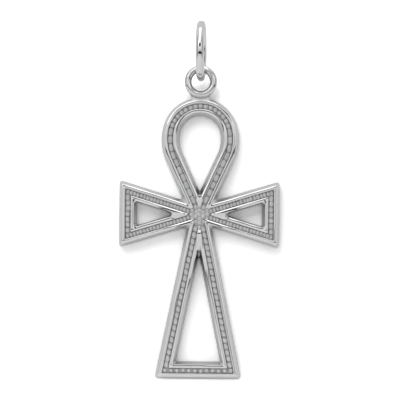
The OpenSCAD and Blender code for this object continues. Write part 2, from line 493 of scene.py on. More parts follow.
def grid_quads(rows: int, columns: int, wrap_rows: bool = False, wrap_columns: bool = True) -> Array:
    """Faces of a grid of points kept row by row.

    Args:
        rows: number of rows.
        columns: number of points in a row.
        wrap_rows: True if the last row joins the first.
        wrap_columns: True if each row is a closed line.

    Returns:
        Rows of four point numbers.
    """
    i = np.arange(rows if wrap_rows else rows - 1)[:, None]
    j = np.arange(columns if wrap_columns else columns - 1)
    here, after = i * columns, (i + 1) % rows * columns
    j2 = (j + 1) % columns
    return np.stack([here + j, here + j2, after + j2, after + j], -1).reshape(-1, 4)


def build_mesh(name: str, surfaces: list[Surface], in_world: bool = False) -> Mesh:
    """Joins surfaces that share points into one closed mesh with outward faces.

    Args:
        name: the mesh's name.
        surfaces: what it is made of.
        in_world: True if the points are already in the world, in millimetres.

    Returns:
        The mesh, smooth-shaded, with a value at each point that says how much painted shade darkens it.
    """
    points = np.vstack([s.points * MM if in_world else s.laid() for s in surfaces])
    starts = np.cumsum([0] + [len(s.points) for s in surfaces[:-1]])
    faces: list[list[int]] = []
    kinds: list[int] = []
    for start, s in zip(starts, surfaces):
        faces += (s.quads + start).tolist() + (s.tris + start).tolist()
        kinds += [s.kind.value] * (len(s.quads) + len(s.tris))
    mesh = bpy.data.meshes.new(name)
    mesh.from_pydata(points.tolist(), [], faces)
    mesh.polygons.foreach_set("material_index", kinds)
    values = np.concatenate([np.zeros(len(s.points)) if s.painted_shade is None else s.painted_shade for s in surfaces])
    # The painted shade is kept on the mesh as a value at each point
    mesh.attributes.new("painted_shade", "FLOAT", "POINT").data.foreach_set("value", values.astype(np.float32))
    work = bmesh.new()
    work.from_mesh(mesh)
    bmesh.ops.remove_doubles(work, verts=work.verts, dist=JOINED)
    bmesh.ops.recalc_face_normals(work, faces=work.faces)
    work.to_mesh(mesh)
    work.free()
    mesh.polygons.foreach_set("use_smooth", [True] * len(mesh.polygons))
    mesh.update()
    return mesh


def to_lines(points: Array, loops: list[Array]) -> tuple[Array, Array]:
    """Measures places against closed lines.

    Inside is told by how many of the lines' segments a level ray to the right crosses, and the distance
    is the least one to any segment.

    Args:
        points: places, as rows of x and y.
        loops: closed lines.

    Returns:
        For each place, whether it is inside an odd number of loops, and its distance to the nearest one.
    """
    a = np.vstack(loops)
    b = np.vstack([np.roll(loop, -1, axis=0) for loop in loops])
    inside, distance = [], []
    for chunk in np.array_split(points, max(len(points) // 2000, 1)):
        px, py = chunk[:, :1], chunk[:, 1:]
        spans = (a[:, 1] > py) != (b[:, 1] > py)
        rise = np.where(b[:, 1] == a[:, 1], 1e-12, b[:, 1] - a[:, 1])
        crossing = a[:, 0] + (py - a[:, 1]) * (b[:, 0] - a[:, 0]) / rise
        inside.append((spans & (px < crossing)).sum(1) % 2 == 1)
        along = b - a
        t = ((px - a[:, 0]) * along[:, 0] + (py - a[:, 1]) * along[:, 1]) / (along**2).sum(1)
        t = np.clip(t, 0, 1)
        gap = np.hypot(px - a[:, 0] - t * along[:, 0], py - a[:, 1] - t * along[:, 1])
        distance.append(gap.min(1))
    return np.concatenate(inside), np.concatenate(distance)


def filled(loops: list[Array], pitch: float) -> tuple[Array, Array, Array]:
    """Fills the region between closed lines with triangles on a staggered lattice.

    Args:
        loops: the outer line and the lines round the holes.
        pitch: the lattice's pitch.

    Returns:
        The points, with the loops' own first, the triangles, and each point's distance to the loops.
    """
    border = np.vstack(loops)
    low, high = border.min(0), border.max(0)
    wide = 5 * pitch
    coarse_x = np.arange(low[0], high[0] + wide, wide)
    coarse_y = np.arange(low[1], high[1] + wide, wide)
    cx, cy = np.meshgrid(coarse_x, coarse_y)
    inside, distance = to_lines(np.column_stack([cx.ravel(), cy.ravel()]), loops)
    useful = (inside | (distance < wide)).reshape(cx.shape)
    x = np.arange(low[0], high[0], pitch)
    y = np.arange(low[1], high[1], pitch * math.sqrt(3) / 2)
    gx, gy = np.meshgrid(x, y)
    gx = gx + (np.arange(len(y)) % 2)[:, None] * pitch / 2
    lattice = np.column_stack([gx.ravel(), gy.ravel()])
    cell = np.minimum(np.rint((lattice - low) / wide).astype(int), [len(coarse_x) - 1, len(coarse_y) - 1])
    lattice = lattice[useful[cell[:, 1], cell[:, 0]]]
    inside, distance = to_lines(lattice, loops)
    keep = inside & (distance > 0.55 * pitch)
    points = np.vstack([border, lattice[keep]])
    starts = np.cumsum([0] + [len(loop) for loop in loops])
    links = []
    for start, loop in zip(starts, loops):
        k = np.arange(len(loop))
        links.append(np.column_stack([start + k, start + (k + 1) % len(loop)]))
    made = delaunay_2d_cdt(points.tolist(), np.vstack(links).tolist(), [], 0, 1e-9, True)
    faces, made_from = made[2], made[3]
    source = np.array([origin[0] if origin else -1 for origin in made_from])
    tris = source[np.array([list(face) for face in faces])]
    tris = tris[(tris >= 0).all(1)]
    kept = (tris >= len(border)).any(1)
    unsure = np.flatnonzero(~kept)
    kept[unsure], _ = to_lines(points[tris[unsure]].mean(1), loops)
    tris = tris[kept]
    return points, tris, np.concatenate([np.zeros(len(border)), distance[keep]])


@dataclass
class Casting:
    """The cast frame: rims, sunk groove and flat back as one closed mesh.

    The outline's crest and the openings' have a form each. Beside the crossing, the bars' edges that face
    down have the corner crest, a ridge with one bright side. Round the tips of the openings the crest is
    flat. Each reach, from outline_corner to leg_flat, says up to how far off the crossing that holds in
    full, and from where it doesn't at all. The rim at the leg's tip is worn: it is worn_drop lower down
    to worn_from below the crossing, and less over worn_l more.
    """

    plan: Plan = Plan()
    back_edge: float = 0.06
    wall_top: float = 0.45
    wall_share: float = 0.15
    crest_end: float = 0.985
    floor_pitch: float = 0.05
    back_pitch: float = 0.4
    floor_pits: float = 0.012
    back_swell: float = 0.006
    pit_l: Pair = (0.16, 0.08)
    swell_l: float = 1.3
    outline_crest: Crest = (
        (0, 62), (0.06, 29), (0.26, 16), (0.4, 12.5), (0.5, 7.5), (0.6, 2.5), (0.64, 1), (0.8, -1.5),
        (0.9, -9), (0.95, -30), (1, -75)
    )
    opening_crest: Crest = (
        (0, 62), (0.04, 29), (0.14, 16), (0.28, 12.5), (0.44, 7.5), (0.47, 0), (0.5, -7.5), (0.73, -12.5),
        (0.79, -16), (0.9, -29), (1, -75)
    )
    corner_crest: Crest = ((0, 0), (0.24, 0), (0.28, 3.6), (0.62, 4.4), (0.65, -16), (0.94, -27), (1, -75))
    flat_crest: Crest = ((0, 0), (0.94, 0), (1, -75))
    outline_corner: Pair = (1.6, 4.6)
    opening_corner: Pair = (2.2, 6.5)
    head_flat: Pair = (1.2, 1.6)
    arm_flat: Pair = (2.3, 2.8)
    leg_flat: Pair = (4.6, 7.5)
    worn_from: float = 1.35
    worn_l: float = 0.5
    worn_drop: float = 0.15
    # Painted shade on the openings' slopes, and more round their tips where the deep walls shade them
    slope_shade: float = 0.35
    tip_shade: float = 1.1
    tip_from: Pair = (3.8, 4.6)
    crest_sway: float = 0.008
    hollow: float = 0.003
    sway_l: Pair = (2.5, 12.0)

    def section(self, crest: Crest) -> tuple[Array, Array]:
        """The rim's section, from the back edge over the crest to the groove's floor.

        A quarter circle rounds the back edge. The wall leans in a little up to wall_top of the thickness,
        then slopes to the crest's shoulder. Over the crest the tilt is a broken line, and the height is
        the running sum of the tilt's tangent. A short drafted wall with a small fillet goes down to the
        floor. Every crest has points at the same places.

        Args:
            crest: the crest's form.

        Returns:
            The share across the rim and the height of each point.
        """
        s = self.plan.s
        e = self.back_edge
        crest_at, tilts = np.array(crest).T
        crests = (self.outline_crest, self.opening_crest, self.corner_crest, self.flat_crest)
        places = [at for form in crests for at, _ in form]
        over = np.unique(np.concatenate([np.linspace(0, 1, 13), places, [0.02, 0.97, 0.985]]))
        crest_w = self.crest_end - s.slope_share
        slope = np.tan(np.radians(np.interp(over, crest_at, tilts)))
        steps = np.cumsum((slope[1:] + slope[:-1]) / 2 * np.diff(over))
        climb = np.concatenate([[0], steps]) * crest_w * s.rim_w
        shoulder = s.body_t - climb.max()
        t = np.radians(np.linspace(0, 90, 5))
        wall = np.array([0.4, 0.8, 0.97])
        rise = np.linspace(0.03, 0.97, 7)
        lean = self.wall_share * s.slope_share
        top = self.wall_top * s.body_t
        share = [
            e * (1 - np.sin(t)) / s.rim_w, mix(0.0, lean, wall), mix(lean, s.slope_share, rise),
            s.slope_share + crest_w * over, [0.987, 0.989, 0.992, 1.0],
        ]
        height = [
            e * (1 - np.cos(t)), mix(e, top, wall), mix(top, shoulder, rise),
            shoulder + climb, mix(shoulder + climb[-1], s.groove_floor, np.array([0.45, 0.8, 0.95, 1.0])),
        ]
        return np.concatenate(share), np.concatenate(height)

    def near_crossing(self, x: Array, y: Array, is_outline: bool) -> tuple[Array, ...]:
        """How the crest changes near the crossing.

        Args:
            x: how far to the right of the crossing each place is.
            y: how far above it each place is.
            is_outline: True for the outline's crest, False for an opening's.

        Returns:
            Shares from 0 to 1 of the corner crest and of the flat one, and how low the leg's tip is worn:
            the drop grows with the square of the way to the tip.
        """
        away = np.hypot(x, y)
        off_axis = abs(x) - abs(y)
        if is_outline:
            to_corner = (y < 0) * smooth(off_axis, -0.2, -0.05) * fade(away, *self.outline_corner)
            return to_corner, np.zeros(x.shape), np.zeros(x.shape)
        on_arm, above = smooth(off_axis, 0, 0.15), smooth(y, 0, 0.12)
        to_corner = above * on_arm * fade(away, *self.opening_corner)
        below = mix(fade(away, *self.leg_flat), fade(away, *self.arm_flat), on_arm)
        to_flat = mix(below, fade(away, *self.head_flat) * (1 - on_arm), above)
        to_tip = np.clip(1 + (y + self.worn_from) / self.worn_l, 0, 1) * (1 - on_arm) * (y < 0)
        return to_corner, to_flat, self.worn_drop * to_tip**2

    def rim_shade(self, share: Array, height: Array, lines: Array, is_outline: bool) -> Array:
        """Painted shade down the groove's wall, on an opening's slope, and most of all on the slope round its
        tip.

        Args:
            share: each row's share across the rim.
            height: each row's height.
            lines: each row's line in the plan.
            is_outline: True for the outline, which has painted shade in the groove only.

        Returns:
            A value for each point of each row.
        """
        s = self.plan.s
        # Painted shade down the groove's wall, then on the openings' slopes and round their tips
        painted_shade = smooth(share, 0.93, 1.0) * fade(height, s.body_t - 0.14, s.body_t - 0.03)
        painted_shade = np.repeat(painted_shade[:, None], lines.shape[1], axis=1)
        if not is_outline:
            x, y = lines[..., 0], lines[..., 1]
            tip = fade(np.minimum(abs(x), abs(y)), 0.1, 0.4) * fade(np.hypot(x, y), *self.tip_from)
            on_slope = fade(share, s.slope_share * 0.85, s.slope_share)[:, None]
            painted_shade += (self.slope_shade + self.tip_shade * tip) * on_slope
        return painted_shade

    def rim(
        self, parts_at: Callable[[float], list[Array]], seed: int, is_outline: bool
    ) -> tuple[Surface, Array, Array]:
        """Carries the section round one closed line.

        Each section point has its own line in the plan, at its share across the rim. The crest sways:
        it leans to one side and the other by slow waves, as a rim does that was polished by hand.

        Args:
            parts_at: gives the line's corner arcs at a share.
            seed: seed of the sway.
            is_outline: True for the outline, False for an opening.

        Returns:
            The rim, its line on the back and its line on the groove's floor.
        """
        s = self.plan.s
        share, height = self.section(self.outline_crest if is_outline else self.opening_crest)
        steps = self.plan.run_counts(parts_at(1.0))
        lines = np.stack([self.plan.close(parts_at(float(at)), steps) for at in share])
        rows, columns = lines.shape[:2]
        t = np.linspace(0, 1, columns, endpoint=False)
        on_crest = smooth(height, s.body_t - 0.1, s.body_t - 0.03)[:, None]
        middle = (1 + s.slope_share) / 2
        length = np.linalg.norm(np.diff(lines[-1], axis=0, append=lines[-1][:1]), axis=1).sum()
        counts = range(max(round(length / self.sway_l[1]), 1), max(round(length / self.sway_l[0]), 4))
        sway = self.crest_sway * waves(t, counts, seed) * (share[:, None] - middle) / (1 - middle)
        swell = self.hollow * (waves(t, counts, seed + 50) - 1)
        to_corner, to_flat, drop = self.near_crossing(lines[..., 0], lines[..., 1], is_outline)
        h = mix(height[:, None], self.section(self.flat_crest)[1][:, None], to_flat)
        h = mix(h, self.section(self.corner_crest)[1][:, None], to_corner)
        h = np.minimum(h + on_crest * ((sway + swell) * (1 - to_corner) - drop), s.body_t)
        points = np.concatenate([lines, h[..., None]], axis=-1).reshape(-1, 3)
        painted_shade = self.rim_shade(share, height, lines, is_outline).ravel()
        return Surface(points, grid_quads(rows, columns), painted_shade=painted_shade, kind=Face.RIM), lines[0], lines[-1]

    def floor(self, loops: list[Array]) -> Surface:
        """The groove's floor: flat, with painted shade darkest at the walls, and shallow pits of two sizes
        between them.

        Args:
            loops: the rims' lines on the floor.

        Returns:
            The floor's surface.
        """
        s = self.plan.s
        points, tris, distance = filled(loops, self.floor_pitch)
        pits = 0.6 * lattice_noise(points, self.pit_l[0], 3) + 0.4 * lattice_noise(points, self.pit_l[1], 4)
        h = s.groove_floor + self.floor_pits * pits * smooth(distance, 0, 0.1)
        # Painted shade: darkest where the floor meets the walls, lighter towards the groove's middle
        painted_shade = 1.1 - 0.5 * smooth(distance, 0.02, 0.13) - 0.4 * smooth(distance, 0.2, 0.32)
        return Surface(np.column_stack([points, h]), tris=tris, painted_shade=painted_shade, kind=Face.FLOOR)

    def back(self, loops: list[Array]) -> Surface:
        """The flat back, dressed by hand: it sinks a little away from its edges, unevenly.

        Args:
            loops: the rims' lines on the back.

        Returns:
            The back's surface.
        """
        points, tris, distance = filled(loops, self.back_pitch)
        h = self.back_swell * (1 + lattice_noise(points, self.swell_l, 5)) * smooth(distance, 0, 0.4)
        return Surface(np.column_stack([points, h]), tris=tris, kind=Face.BACK)

    def build(self) -> Mesh:
        """Builds the rims, the floor between them and the back, joined along their shared lines.

        Returns:
            The casting's mesh.
        """
        plan = self.plan
        rims, back_lines, floor_lines = [], [], []
        parts = [plan.outline_parts, plan.head_parts, plan.leg_parts, plan.arm_parts, plan.left_arm_parts]
        for number, parts_at in enumerate(parts):
            rim, back_line, floor_line = self.rim(parts_at, 11 + number, number == 0)
            rims.append(rim)
            back_lines.append(back_line)
            floor_lines.append(floor_line)
        return build_mesh("cast_frame", [*rims, self.floor(floor_lines), self.back(back_lines)])


@dataclass(frozen=True)
class GrainKind:
    """One kind of grain: half its length along the row, half its width, its height and its form.

    Squareness is the plan's superellipse power, and dome how far it is from a flat pillow to a ball.
    Unlike, stray and skew are how much the grains differ, how far they sit from their places and how
    they lean along the row.
    """

    half_l: float
    half_w: float
    height: float
    squareness: float = 2.2
    unlike: float = 0.1
    stray: float = 0.015
    skew: float = 0.0
    dome: float = 0.12


def fan(first: int, count: int, apex: int, turned: bool = False) -> Array:
    """Triangles from the sides of a ring of points to one more point.

    Args:
        first: the ring's first point.
        count: how many points it has.
        apex: the one more point.
        turned: True where the triangles face the other way.

    Returns:
        The corners of each triangle.
    """
    ring = first + np.arange(count)
    sides = (ring, np.roll(ring, -1))
    return np.column_stack([*(sides[::-1] if turned else sides), np.full(count, apex)])


@dataclass
class Granulation:
    """The raised grains in the groove, row by row.

    The rows begin start_w groove widths from the crossing, and the crossing's own grains are crossing_w
    groove widths apart.
    """

    plan: Plan = Plan()
    round_steps: int = 16
    ring_at: tuple[float, ...] = (0.9, 1.0, 0.985, 0.955, 0.88, 0.5)
    ring_rise: tuple[float, ...] = (-0.5, 0.5, 0.85, 0.95, 0.99, 1.0)
    # Painted shade on each ring: dark round the grain's foot and sides, none on its top
    ring_shade: tuple[float, ...] = (1.0, 1.0, 1.0, 0.7, 0.15, 0.0)
    lean: float = 0.03
    start_w: float = 2.4
    crossing_w: float = 0.84
    side_kind: GrainKind = GrainKind(0.348, 0.195, 0.15, 3.6, 0.04, 0.008)
    top_kind: GrainKind = GrainKind(0.212, 0.195, 0.15, 2.8, 0.06, 0.008, dome=0.3)
    arm_kind: GrainKind = GrainKind(0.142, 0.19, 0.14, 2.8, 0.07, 0.01)
    end_kind: GrainKind = GrainKind(0.225, 0.195, 0.15, 3.0, 0.07)
    leg_kind: GrainKind = GrainKind(0.262, 0.195, 0.15, 2.8, 0.06, 0.008, 0.25)
    foot_kind: GrainKind = GrainKind(0.2, 0.19, 0.17, 2.1, 0.06, dome=0.6)
    crossing_kind: GrainKind = GrainKind(0.18, 0.18, 0.07, 2.0, 0.12, 0.03, dome=0.7)

    def grains(self, at: Array, along: Array, kind: GrainKind, seed: int) -> Surface:
        """Flattened pillows set in the floor.

        Each is a grid of rings: a ring's plan is a superellipse at its share of the grain's size, and its
        height is mixed from a flat pillow's and a ball's, √(1 − share²). Each grain leans a little its
        own way. A point at the top and one under the floor close it.

        Args:
            at: centres, as rows of x and y.
            along: the row's direction at each centre.
            kind: sizes of the grains.
            seed: seed of their differences.

        Returns:
            All the grains of the row.
        """
        s, n = self.plan.s, len(at)
        rng = np.random.default_rng(seed)
        ring, rise = np.array(self.ring_at)[:, None], np.array(self.ring_rise)[:, None]
        rise = mix(rise, np.sign(rise) * np.sqrt(1 - ring**2), kind.dome)
        turn = turns(self.round_steps)
        lumps = 1 + kind.unlike * 0.3 * rng.normal(size=(n, 1, self.round_steps))
        half_l = kind.half_l * (1 + kind.unlike * rng.normal(size=(n, 1, 1)))
        half_w = kind.half_w * (1 + 0.5 * kind.unlike * rng.normal(size=(n, 1, 1)))
        tall = kind.height * (1 + kind.unlike * rng.normal(size=(n, 1)))
        u = half_l * lumps * ring * squared(np.cos(turn), kind.squareness)
        v = half_w * lumps * ring * squared(np.sin(turn), kind.squareness)
        leans = rng.normal(scale=self.lean, size=(2, n, 1, 1))
        tilted = (leans[0] * u + leans[1] * v) * (rise > 0)
        u = u + kind.skew * v
        centre = at + rng.normal(scale=kind.stray, size=(n, 2))
        across = np.column_stack([-along[:, 1], along[:, 0]])
        x, y = (
            centre[:, k, None, None] + u * along[:, k, None, None] + v * across[:, k, None, None]
            for k in (0, 1)
        )
        body = np.stack([x, y, s.groove_floor + tall[..., None] * rise + tilted], -1).reshape(n, -1, 3)
        top = np.concatenate([centre, s.groove_floor + tall], -1)[:, None]
        foot = np.concatenate([centre, s.groove_floor - 0.5 * tall], -1)[:, None]
        points = np.concatenate([body, top, foot], 1)
        m, rows = self.round_steps, len(ring)
        caps = np.vstack([fan((rows - 1) * m, m, rows * m), fan(0, m, rows * m + 1, turned=True)])
        first = (np.arange(n) * (rows * m + 2))[:, None, None]
        quads, tris = (grid_quads(rows, m) + first).reshape(-1, 4), (caps + first).reshape(-1, 3)
        # Painted shade on the rings, full at the foot point and none at the top point
        painted_shade = np.concatenate([np.repeat(self.ring_shade, m), [0.0, 1.0]])
        return Surface(points.reshape(-1, 3), quads, tris, np.tile(painted_shade, n), Face.RIM)

    def row(self, a: Array, b: Array, pitch: float) -> tuple[Array, Array]:
        """Places at an even pitch from a to b, with both ends, and their direction.

        Args:
            a: where the row starts.
            b: where it ends.
            pitch: the pitch that is wanted.

        Returns:
            The places, and the row's direction at each.
        """
        length = float(np.linalg.norm(b - a))
        n = max(round(length / pitch), 1)
        share = np.linspace(0, 1, n + 1)[:, None]
        return mix(a, b, share), np.repeat([(b - a) / length], n + 1, axis=0)

    def head_row(self) -> tuple[Array, Array, Array]:
        """Places round the head, from above the crossing up its right side, over the top and down the left.

        The groove's middle is measured along its length. The long grains share the way up to the join
        of the arcs evenly, and the round ones share the top, with one at its middle.

        Returns:
            The centres, the row's direction at each, and whether each is a long one.
        """
        s = self.plan.s
        line = self.plan.head_arc(s.mid_w)
        start = unit(90 - s.head_flank_deg) * self.row_start
        path = np.vstack([start, line, start * [-1, 1]])
        length = np.concatenate([[0], np.cumsum(np.linalg.norm(np.diff(path, axis=0), axis=1))])
        top_l = s.head_top_r * math.radians(90 - s.head_join_deg)
        middle = length[-1] / 2
        side_l = middle - top_l
        side_n = round(side_l / s.head_side_pitch)
        top_n = round(top_l / s.head_top_pitch - 0.5)
        side = (np.arange(side_n) + 0.5) * side_l / side_n
        top = side_l + (np.arange(top_n) + 0.5) * top_l / (top_n + 0.5)
        half = np.concatenate([side, top])
        where = np.concatenate([half, [middle], 2 * middle - half[::-1]])
        at, ahead, behind = (
            np.column_stack([np.interp(where + step, length, path[:, k]) for k in (0, 1)])
            for step in (0, 0.05, -0.05)
        )
        along = ahead - behind
        return at, along / np.linalg.norm(along, axis=1, keepdims=True), np.abs(where - middle) > top_l

    @property
    def row_start(self) -> float:
        """How far from the crossing the rows begin."""
        return self.start_w * self.plan.s.groove_w

    def head(self) -> list[Surface]:
        """Long pillows up the sides of the head and short ones over its top.

        Returns:
            The grains, one surface for each row.
        """
        at, along, long = self.head_row()
        return [
            self.grains(at[long], along[long], self.side_kind, 21),
            self.grains(at[~long], along[~long], self.top_kind, 22),
        ]

    def arms(self) -> list[Surface]:
        """Short pillows along the slanted bars and wider ones down the ends.

        Returns:
            The grains, one surface for each row.
        """
        s, plan = self.plan.s, self.plan
        _, _, _, end, top, _ = plan.edges
        made = []
        for number, side in enumerate((1, -1)):
            corner = end.inset(s.mid_w).meet(top.inset(s.mid_w)) * [side, 1]
            low = corner * [1, -1]
            for tall, finish in enumerate((corner, low)):
                at, along = self.row(finish / np.linalg.norm(finish) * self.row_start, finish, s.arm_pitch)
                made.append(self.grains(at, along, self.arm_kind, 31 + 2 * number + tall))
            at, along = self.row(low, corner, s.arm_end_pitch)
            made.append(self.grains(at[1:-1], along[1:-1], self.end_kind, 41 + number))
        return made

    def leg(self) -> list[Surface]:
        """Long pillows down the leg's sides, leaning like scales, and round grains along the foot.

        Returns:
            The grains, one surface for each row.
        """
        s, plan = self.plan.s, self.plan
        foot, right = plan.edges[:2]
        corner = foot.inset(s.mid_w).meet(right.inset(s.mid_w))
        along = unit(plan.leg_lean - 90)
        start = s.leg_spread * unit(plan.leg_lean) + along * self.row_start
        stop = corner - along * s.foot_pitch / 2
        n = round(float(np.linalg.norm(stop - start)) / s.leg_pitch)
        share = (np.arange(n)[:, None] + 0.5) / n
        made = []
        for number, side in enumerate((1, -1)):
            mirror = np.array([side, 1])
            way = np.repeat([along * mirror], n, axis=0)
            made.append(self.grains(mix(start, stop, share) * mirror, way, self.leg_kind, 51 + number))
        at, way = self.row(corner * [-1, 1], corner, s.foot_pitch)
        made.append(self.grains(at, way, self.foot_kind, 61))
        return made

    def crossing(self) -> list[Surface]:
        """Low soft grains over the crossing: one amid rings of six and twelve, and two down the leg.

        Returns:
            The grains, as one surface.
        """
        step = self.crossing_w * self.plan.s.groove_w
        rings = [k * step * unit(np.arange(6 * k) * 60 / k + 30) for k in (1, 2)]
        at = np.vstack([[[0, 0]], *rings, [[0, -3 * step], [0, -4 * step]]])
        along = np.repeat([[0.0, 1.0]], len(at), axis=0)
        return [self.grains(at, along, self.crossing_kind, 71)]


@dataclass
class HangingLoop:
    """The soldered loop of round wire over the head, and its solder."""

    plan: Plan = Plan()
    # Painted shade on the wire's inner side, which faces the hole
    inner_shade: float = 1.0
    inner_from: Pair = (0.3, 0.75)
    wire_inset: float = 0.004
    unevenness: float = 0.012
    solder_up: float = 0.3
    solder_down: float = 0.33
    waist: Pair = (0.97, 0.12)
    plan_squareness: float = 3.2
    front_squareness: float = 2.6
    seam_w: float = 0.06
    pits: tuple[tuple[float, float, float], ...] = (
        (0.5, 0.1, 0.07), (0.28, -0.02, 0.06), (0.64, -0.08, 0.07), (-0.2, 0.06, 0.05)
    )
    pit_depth: float = 0.05

    def wire(self) -> Surface:
        """A torus facing the viewer: turn round the loop by turn round the wire, slightly uneven.

        Returns:
            The wire's surface.
        """
        s = self.plan.s
        u, v = turns(144)[:, None], turns(48)[None]
        t = u[:, 0] / (2 * math.pi)
        r = (s.loop_wire_d / 2 - self.wire_inset) * (1 + self.unevenness * waves(t, range(2, 9), 81))[:, None]
        out = s.loop_r + r * np.cos(v)
        x, y = out * np.cos(u), out * np.sin(u)
        h = s.body_t / 2 + r * np.sin(v) + 0 * u
        points = np.stack([x, y + s.loop_z - s.crossing_z, h], -1).reshape(-1, 3)
        # Painted shade on the inner side of the wire
        inner = self.inner_shade * smooth(-np.cos(v), *self.inner_from) + 0 * u
        return Surface(points, grid_quads(144, 48, wrap_rows=True), painted_shade=inner.ravel())

    def solder(self) -> Surface:
        """The solder between the loop and the head: a waist carried from the wire down into the rim.

        Its half width follows the hollow circle that touches the loop and the head's sloping edge, and
        its section is a superellipse. Half its thickness is the waist's share of solder_t / 2, and more by
        a square law above and below it. A few pits, each given by its place from the waist and its width,
        are pressed into its front.

        Returns:
            The solder's surface.
        """
        s = self.plan.s
        loop_y = s.loop_z - s.crossing_z
        loop_out = s.loop_r + s.loop_wire_d / 2
        head_out = s.head_top_r + s.mid_w - s.slope_share * s.rim_w / 2
        gap = loop_y - s.head_c
        drop = (gap**2 + (loop_out + s.solder_r) ** 2 - (head_out + s.solder_r) ** 2) / (2 * gap)
        hollow_x = math.sqrt((loop_out + s.solder_r) ** 2 - drop**2)
        hollow_y = loop_y - drop
        y = np.linspace(hollow_y + self.solder_up, hollow_y - self.solder_down, 41)[:, None]
        half_w = hollow_x - np.sqrt(np.maximum(s.solder_r**2 - (y - hollow_y) ** 2, 0))
        half_t = s.solder_t / 2 * (self.waist[0] + self.waist[1] * ((y - hollow_y) / s.solder_r) ** 2)
        v = turns(96)[None]
        x = half_w * squared(np.cos(v), self.plan_squareness)
        lift = half_t * squared(np.sin(v), self.front_squareness)
        for px, py, wide in self.pits:
            dent = np.exp(-((x - px) ** 2 + (y - hollow_y - py) ** 2) / (2 * (wide / 2) ** 2))
            lift = lift - self.pit_depth * dent * (lift > 0)
        points = np.stack([x, y + 0 * x, s.body_t / 2 + lift], -1)
        middle = points.mean(1)
        rows, columns = points.shape[:2]
        n = rows * columns
        caps = np.vstack([fan(0, columns, n, turned=True), fan(n - columns, columns, n + 1)])
        every = np.vstack([points.reshape(-1, 3), middle[0], middle[-1]])
        # Painted shade along the crease where the solder meets the loop's wire
        seam_shade = np.exp(-(((np.hypot(every[:, 0], every[:, 1] - loop_y) - loop_out) / self.seam_w) ** 2))
        return Surface(every, grid_quads(rows, columns), caps, seam_shade)


@dataclass
class JumpRing:
    """The ring of round wire that carries the pendant, seen edge-on."""

    s: Sizes = SIZES

    def build(self) -> Mesh:
        """A torus in the upright plane across the view, turned a little about the vertical.

        Returns:
            The ring's mesh.
        """
        s = self.s
        u, v = turns(192)[:, None], turns(56)[None]
        r = s.ring_wire_d / 2
        out = s.ring_r + r * np.cos(v)
        x, y, z = r * np.sin(v) + 0 * u, out * np.cos(u), out * np.sin(u) - s.ring_inside_d / 2
        c, n = unit(s.ring_turn)
        points = np.stack([c * x - n * y, n * x + c * y, z], -1).reshape(-1, 3)
        wire = Surface(points, grid_quads(192, 56, wrap_rows=True))
        return build_mesh("jump_ring_wire", [wire], in_world=True)


# Finishes
VECTOR, VALUE = "NodeSocketVector", "NodeSocketFloat"


def new_group(name: str, inputs: dict[str, tuple[str, float | None]], outputs: dict[str, str]) -> NodeTree:
    """A shader node group with named sockets.

    Args:
        name: the group's name.
        inputs: for each input, its socket type and starting value, or None.
        outputs: for each output, its socket type.

    Returns:
        The group's tree, holding only its input and output nodes.
    """
    tree = bpy.data.node_groups.new(name, "ShaderNodeTree")
    for label, (kind, value) in inputs.items():
        socket = tree.interface.new_socket(label, in_out="INPUT", socket_type=kind)
        if value is not None:
            socket.default_value = value
    for label, kind in outputs.items():
        tree.interface.new_socket(label, in_out="OUTPUT", socket_type=kind)
    tree.nodes.new("NodeGroupInput")
    tree.nodes.new("NodeGroupOutput")
    return tree


@dataclass
class Nodes:
    """Short ways to lay out nodes in a tree."""

    tree: NodeTree

    def fill(self, node: Node, sockets: dict[str | int, object]) -> Node:
        """Sets a node's inputs.

        Args:
            node: the node.
            sockets: for each input, a value or an output to link from.

        Returns:
            The node.
        """
        for key, value in sockets.items():
            if isinstance(value, NodeSocket):
                self.tree.links.new(value, node.inputs[key])
            else:
                node.inputs[key].default_value = value
        return node

    def add(self, kind: str, sockets: dict[str | int, object] | None = None, **settings: object) -> Node:
        """Adds a node.

        Args:
            kind: the node's type.
            sockets: for each input, a value or an output to link from.
            settings: the node's own settings.

        Returns:
            The node.
        """
        node = self.tree.nodes.new(kind)
        for key, value in settings.items():
            setattr(node, key, value)
        return self.fill(node, sockets or {})

    def math(self, operation: str, a: object, b: object = 0.0) -> NodeSocket:
        """The result of one Math node."""
        return self.add("ShaderNodeMath", {0: a, 1: b}, operation=operation).outputs[0]

    def times(self, a: object, b: object) -> NodeSocket:
        """A product."""
        return self.math("MULTIPLY", a, b)

    def blend(self, share: object, a: object, b: object) -> NodeSocket:
        """A value at a share of the way from a to b."""
        return self.add("ShaderNodeMix", {0: share, 2: a, 3: b}).outputs[0]

    def noise(self, place: object, scale: float, detail: float) -> NodeSocket:
        """Noise at a place."""
        node = self.add("ShaderNodeTexNoise", {"Vector": place, "Scale": scale, "Detail": detail})
        return node.outputs["Fac"]

    def span(
        self, value: object, low: float, high: float, to_low: float = 0.0, to_high: float = 1.0
    ) -> NodeSocket:
        """A value smoothly mapped from low and high to two others.

        Args:
            value: the value.
            low: where it begins to change.
            high: where it stops.
            to_low: what low becomes.
            to_high: what high becomes.

        Returns:
            The mapped value.
        """
        node = self.add(
            "ShaderNodeMapRange",
            {"Value": value, "From Min": low, "From Max": high, "To Min": to_low, "To Max": to_high},
            interpolation_type="SMOOTHSTEP",
        )
        return node.outputs["Result"]

    def step(self, value: object, at: float, soft: float, *ends: float) -> NodeSocket:
        """A soft step round one value, from 0 to 1 where no ends are given."""
        return self.span(value, at - soft / 2, at + soft / 2, *ends)


def nodes_of(holder: Material | World) -> Nodes:
    """The nodes of a material or a world, turned on."""
    holder.use_nodes = True
    return Nodes(holder.node_tree)


